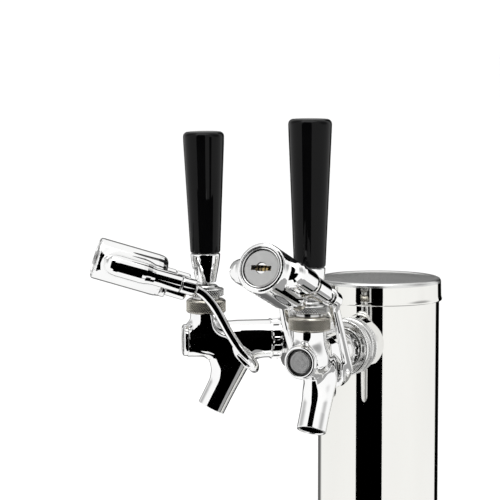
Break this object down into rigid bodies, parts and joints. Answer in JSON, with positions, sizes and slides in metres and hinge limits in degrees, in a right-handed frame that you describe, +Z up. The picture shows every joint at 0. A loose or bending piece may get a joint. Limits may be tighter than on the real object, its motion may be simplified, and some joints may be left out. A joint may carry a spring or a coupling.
{
  "type": "beer tap tower",
  "caption": "Chromed column beer tower with angled rear-sealing faucets, black tap handles and key-operated wrap-around faucet locks.",
  "frame": {"origin": "centre of the bounding box's underside, on the counter and 53.4 mm in front of the column's axis", "axes": "+Z up along the column, -Y towards the front between the faucets, +X to the right seen from the front"},
  "size_m": [0.2006, 0.2242, 0.4335],
  "materials": {
    "column_chrome": "polished chrome plate, warm reflections",
    "bright_chrome": "polished chrome plate",
    "nickel_knurl": "satin nickel with a fine diamond knurl",
    "silver_knurl": "satin steel with a fine diamond knurl",
    "satin_steel": "satin, turned in fine rings",
    "plain_steel": "plain bright steel",
    "brass": "machined brass",
    "gloss_black": "high gloss black",
    "black_rubber": "matte",
    "white_nylon": "natural white nylon",
    "clear_vinyl": "milky beer line",
    "grey_foam": "closed-cell foam"
  },
  "bodies": {
    "root": {"base_flange": "column_chrome", "base_gasket": "black_rubber", "flange_screw_1": "plain_steel", "flange_screw_2": "plain_steel", "flange_screw_3": "plain_steel", "flange_screw_4": "plain_steel", "insulation_sleeve": "grey_foam", "left_ball_washer": "white_nylon", "left_beer_line": "clear_vinyl", "left_bonnet_nut": "nickel_knurl", "left_compression_ring": "silver_knurl", "left_coupling_gasket": "black_rubber", "left_coupling_nut": "silver_knurl", "left_escutcheon": "bright_chrome", "left_faucet_body": "bright_chrome", "left_hose_clamp": "plain_steel", "left_lock_bail": "bright_chrome", "left_nose_plug": "bright_chrome", "left_shank": "bright_chrome", "left_shank_nut": "brass", "left_shank_washer": "white_nylon", "right_ball_washer": "white_nylon", "right_beer_line": "clear_vinyl", "right_bonnet_nut": "nickel_knurl", "right_compression_ring": "silver_knurl", "right_coupling_gasket": "black_rubber", "right_coupling_nut": "silver_knurl", "right_escutcheon": "bright_chrome", "right_faucet_body": "bright_chrome", "right_hose_clamp": "plain_steel", "right_lock_bail": "bright_chrome", "right_nose_plug": "bright_chrome", "right_shank": "bright_chrome", "right_shank_nut": "brass", "right_shank_washer": "white_nylon", "tower_cap": "column_chrome", "tower_column": "column_chrome"},
    "left_lever": {"left_ferrule": "bright_chrome", "left_handle": "gloss_black", "left_lever": "plain_steel"},
    "left_lock": {"left_lock_bezel": "satin_steel", "left_lock_head": "bright_chrome", "left_lock_stop": "bright_chrome"},
    "left_lock_plug": {"left_lock_plug": "satin_steel"},
    "left_shaft": {"left_seat_washer": "black_rubber", "left_shaft": "plain_steel"},
    "right_lever": {"right_ferrule": "bright_chrome", "right_handle": "gloss_black", "right_lever": "plain_steel"},
    "right_lock": {"right_lock_bezel": "satin_steel", "right_lock_head": "bright_chrome", "right_lock_stop": "bright_chrome"},
    "right_lock_plug": {"right_lock_plug": "satin_steel"},
    "right_shaft": {"right_seat_washer": "black_rubber", "right_shaft": "plain_steel"}
  },
  "joints": [
    {"name": "left_pour", "type": "hinge", "parent": "root", "child": "left_lever", "pos_m": [-0.05205, -0.04368, 0.32], "axis": [0.8829, -0.4695, 0], "range_deg": [0, 20]},
    {"name": "left_shaft_slide", "type": "slide", "parent": "root", "child": "left_shaft", "axis": [0.4695, 0.8829, 0], "range_m": [0, 0.009]},
    {"name": "left_lock_slide", "type": "slide", "parent": "root", "child": "left_lock", "axis": [-0.449, -0.8444, 0.2924], "range_m": [0, 0.016]},
    {"name": "left_key_turn", "type": "hinge", "parent": "left_lock", "child": "left_lock_plug", "pos_m": [-0.06045, -0.05949, 0.3297], "axis": [-0.449, -0.8444, 0.2924], "range_deg": [0, 90]},
    {"name": "right_pour", "type": "hinge", "parent": "root", "child": "right_lever", "pos_m": [0.05124, -0.04368, 0.32], "axis": [0.8829, 0.4695, 0], "range_deg": [0, 20]},
    {"name": "right_shaft_slide", "type": "slide", "parent": "root", "child": "right_shaft", "axis": [-0.4695, 0.8829, 0], "range_m": [0, 0.009]},
    {"name": "right_lock_slide", "type": "slide", "parent": "root", "child": "right_lock", "axis": [0.4403, -0.8281, 0.3469], "range_m": [0, 0.016]},
    {"name": "right_key_turn", "type": "hinge", "parent": "right_lock", "child": "right_lock_plug", "pos_m": [0.06016, -0.06046, 0.335], "axis": [0.4403, -0.8281, 0.3469], "range_deg": [0, 90]}
  ],
  "couplings": [
    {"joint": "left_shaft_slide", "follows": "left_pour", "m_per_rad": 0.0245},
    {"joint": "right_shaft_slide", "follows": "right_pour", "m_per_rad": 0.0245}
  ]
}
